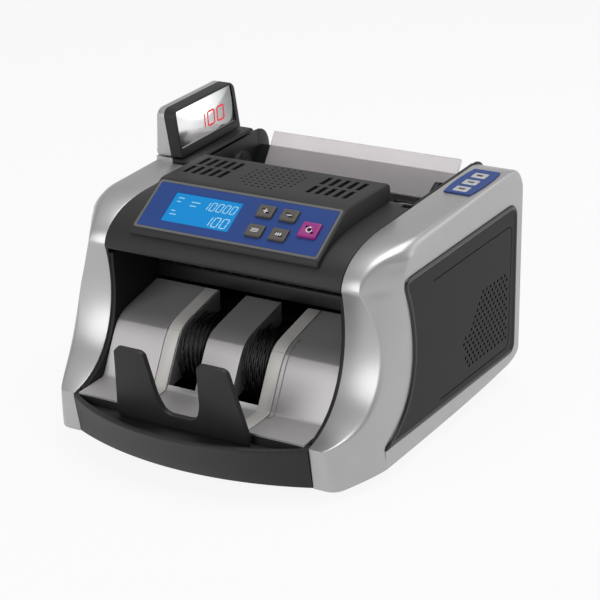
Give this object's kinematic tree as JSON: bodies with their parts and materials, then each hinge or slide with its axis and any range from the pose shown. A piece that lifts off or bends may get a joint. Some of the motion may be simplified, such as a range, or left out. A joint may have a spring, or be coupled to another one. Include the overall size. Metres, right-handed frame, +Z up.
{
  "type": "banknote counting machine",
  "caption": "Desktop banknote counter with a rear hopper, sloping keypad console, finned stacker wheels, open front stacker bay and a swivelling customer display.",
  "frame": {"origin": "on the ground under the middle of the machine's bounding box", "axes": "+X to the operator's right, -Y to the front, +Z up"},
  "size_m": [0.264, 0.302, 0.2117],
  "materials": {
    "silver_paint": "metallic silver paint on moulded plastic",
    "charcoal_plastic": "fine textured charcoal plastic",
    "black_plastic": "satin black plastic",
    "black_frame": "black painted sheet steel",
    "blue_overlay": "printed membrane",
    "lcd_blue": "backlit display",
    "key_grey": "satin",
    "key_magenta": "satin",
    "key_silver": "silver",
    "tinted_plastic": "smoke tinted clear plastic",
    "display_mirror": "mirror tinted window",
    "black_rubber": "matte",
    "steel": "ground",
    "beige_strip": "smooth wear strip",
    "motor_zinc": "zinc plated",
    "board_green": "solder mask",
    "core_iron": "varnished laminations",
    "rocker_black": "gloss"
  },
  "bodies": {
    "chassis": {"base_housing": "black_plastic", "left_side_panel": "silver_paint", "right_side_panel": "silver_paint", "left_side_cover": "charcoal_plastic", "right_side_cover": "charcoal_plastic", "left_frame_plate": "black_frame", "right_frame_plate": "black_frame", "front_cover": "charcoal_plastic", "control_console": "charcoal_plastic", "keypad_overlay": "blue_overlay", "lcd_module": "lcd_blue", "keypad_board": "board_green", "function_overlay": "blue_overlay", "display_plinth": "charcoal_plastic", "hopper_bed": "black_plastic", "hopper_front_plate": "black_plastic", "hopper_rear_guide": "tinted_plastic", "guide_rod": "steel", "separator_holder": "black_plastic", "separator_pad": "black_rubber", "stacker_plate": "silver_paint", "left_wear_strip": "beige_strip", "right_wear_strip": "beige_strip", "note_stop": "charcoal_plastic", "exit_comb": "black_plastic", "drive_belt": "black_rubber", "drive_motor": "motor_zinc", "main_board": "board_green", "transformer": "core_iron", "rear_cover": "charcoal_plastic", "power_inlet": "black_plastic", "foot_front_left": "black_rubber", "foot_front_right": "black_rubber", "foot_rear_left": "black_rubber", "foot_rear_right": "black_rubber"},
    "stacker_wheels": {"stacker_shaft": "steel", "stacker_wheel_left": "black_rubber", "stacker_wheel_right": "black_rubber"},
    "feed_rollers": {"feed_shaft": "steel", "feed_roller_left": "black_rubber", "feed_roller_right": "black_rubber"},
    "pickup_rollers": {"pickup_shaft": "steel", "pickup_roller_left": "black_rubber", "pickup_roller_right": "black_rubber"},
    "motor_rotor": {"motor_pulley": "steel"},
    "left_guide": {"left_note_guide": "black_plastic"},
    "right_guide": {"right_note_guide": "black_plastic"},
    "plus_button": {"plus_key": "key_grey"},
    "minus_button": {"minus_key": "key_grey"},
    "batch_button": {"batch_key": "key_grey"},
    "mode_button": {"mode_key": "key_grey"},
    "reset_button": {"reset_key": "key_magenta"},
    "front_function_button": {"function_key_front": "key_silver"},
    "middle_function_button": {"function_key_middle": "key_silver"},
    "rear_function_button": {"function_key_rear": "key_silver"},
    "customer_display": {"display_back": "silver_paint", "display_bezel": "charcoal_plastic", "display_window": "display_mirror"},
    "power_switch": {"power_rocker": "rocker_black"},
    "gap_screw": {"gap_adjuster": "black_plastic"}
  },
  "joints": [
    {"name": "stacker_spin", "type": "hinge", "parent": "chassis", "child": "stacker_wheels", "pos_m": [0, -0.046, 0.054], "axis": [1, 0, 0], "continuous": true},
    {"name": "feed_spin", "type": "hinge", "parent": "chassis", "child": "feed_rollers", "pos_m": [0, 0.046, 0.0898], "axis": [1, 0, 0], "continuous": true},
    {"name": "pickup_spin", "type": "hinge", "parent": "chassis", "child": "pickup_rollers", "pos_m": [0, 0.0925, 0.0953], "axis": [1, 0, 0], "continuous": true},
    {"name": "motor_spin", "type": "hinge", "parent": "chassis", "child": "motor_rotor", "pos_m": [0, 0.062, 0.034], "axis": [1, 0, 0], "continuous": true},
    {"name": "left_guide_slide", "type": "slide", "parent": "chassis", "child": "left_guide", "axis": [1, 0, 0], "range_m": [0, 0.045]},
    {"name": "right_guide_slide", "type": "slide", "parent": "chassis", "child": "right_guide", "axis": [-1, 0, 0], "range_m": [0, 0.045]},
    {"name": "plus_press", "type": "slide", "parent": "chassis", "child": "plus_button", "axis": [0, 0.5318, -0.8468], "range_m": [0, 0.0012], "stiffness_N_per_m": 600, "springref_m": -0.0012},
    {"name": "minus_press", "type": "slide", "parent": "chassis", "child": "minus_button", "axis": [0, 0.5318, -0.8468], "range_m": [0, 0.0012], "stiffness_N_per_m": 600, "springref_m": -0.0012},
    {"name": "batch_press", "type": "slide", "parent": "chassis", "child": "batch_button", "axis": [0, 0.5318, -0.8468], "range_m": [0, 0.0012], "stiffness_N_per_m": 600, "springref_m": -0.0012},
    {"name": "mode_press", "type": "slide", "parent": "chassis", "child": "mode_button", "axis": [0, 0.5318, -0.8468], "range_m": [0, 0.0012], "stiffness_N_per_m": 600, "springref_m": -0.0012},
    {"name": "reset_press", "type": "slide", "parent": "chassis", "child": "reset_button", "axis": [0, 0.5318, -0.8468], "range_m": [0, 0.0012], "stiffness_N_per_m": 600, "springref_m": -0.0012},
    {"name": "front_function_press", "type": "slide", "parent": "chassis", "child": "front_function_button", "axis": [0, 0.0456, -0.999], "range_m": [0, 0.0006], "stiffness_N_per_m": 600, "springref_m": -0.0012},
    {"name": "middle_function_press", "type": "slide", "parent": "chassis", "child": "middle_function_button", "axis": [0, 0.0456, -0.999], "range_m": [0, 0.0006], "stiffness_N_per_m": 600, "springref_m": -0.0012},
    {"name": "rear_function_press", "type": "slide", "parent": "chassis", "child": "rear_function_button", "axis": [0, 0.0456, -0.999], "range_m": [0, 0.0006], "stiffness_N_per_m": 600, "springref_m": -0.0012},
    {"name": "display_swivel", "type": "hinge", "parent": "chassis", "child": "customer_display", "pos_m": [-0.119, 0.08, 0.17237], "axis": [0, -0.0456, 0.999], "range_deg": [-90, 90]},
    {"name": "power_rock", "type": "hinge", "parent": "chassis", "child": "power_switch", "pos_m": [0.0435, 0.1445, 0.034], "axis": [1, 0, 0], "range_deg": [0, 16]},
    {"name": "gap_turn", "type": "hinge", "parent": "chassis", "child": "gap_screw", "pos_m": [0, 0.046, 0.132], "axis": [0, 0, 1], "range_deg": [-180, 180]}
  ],
  "couplings": [
    {"joint": "feed_spin", "follows": "stacker_spin", "ratio": 1.1667},
    {"joint": "pickup_spin", "follows": "stacker_spin", "ratio": 1.4},
    {"joint": "motor_spin", "follows": "stacker_spin", "ratio": 1.5556}
  ]
}
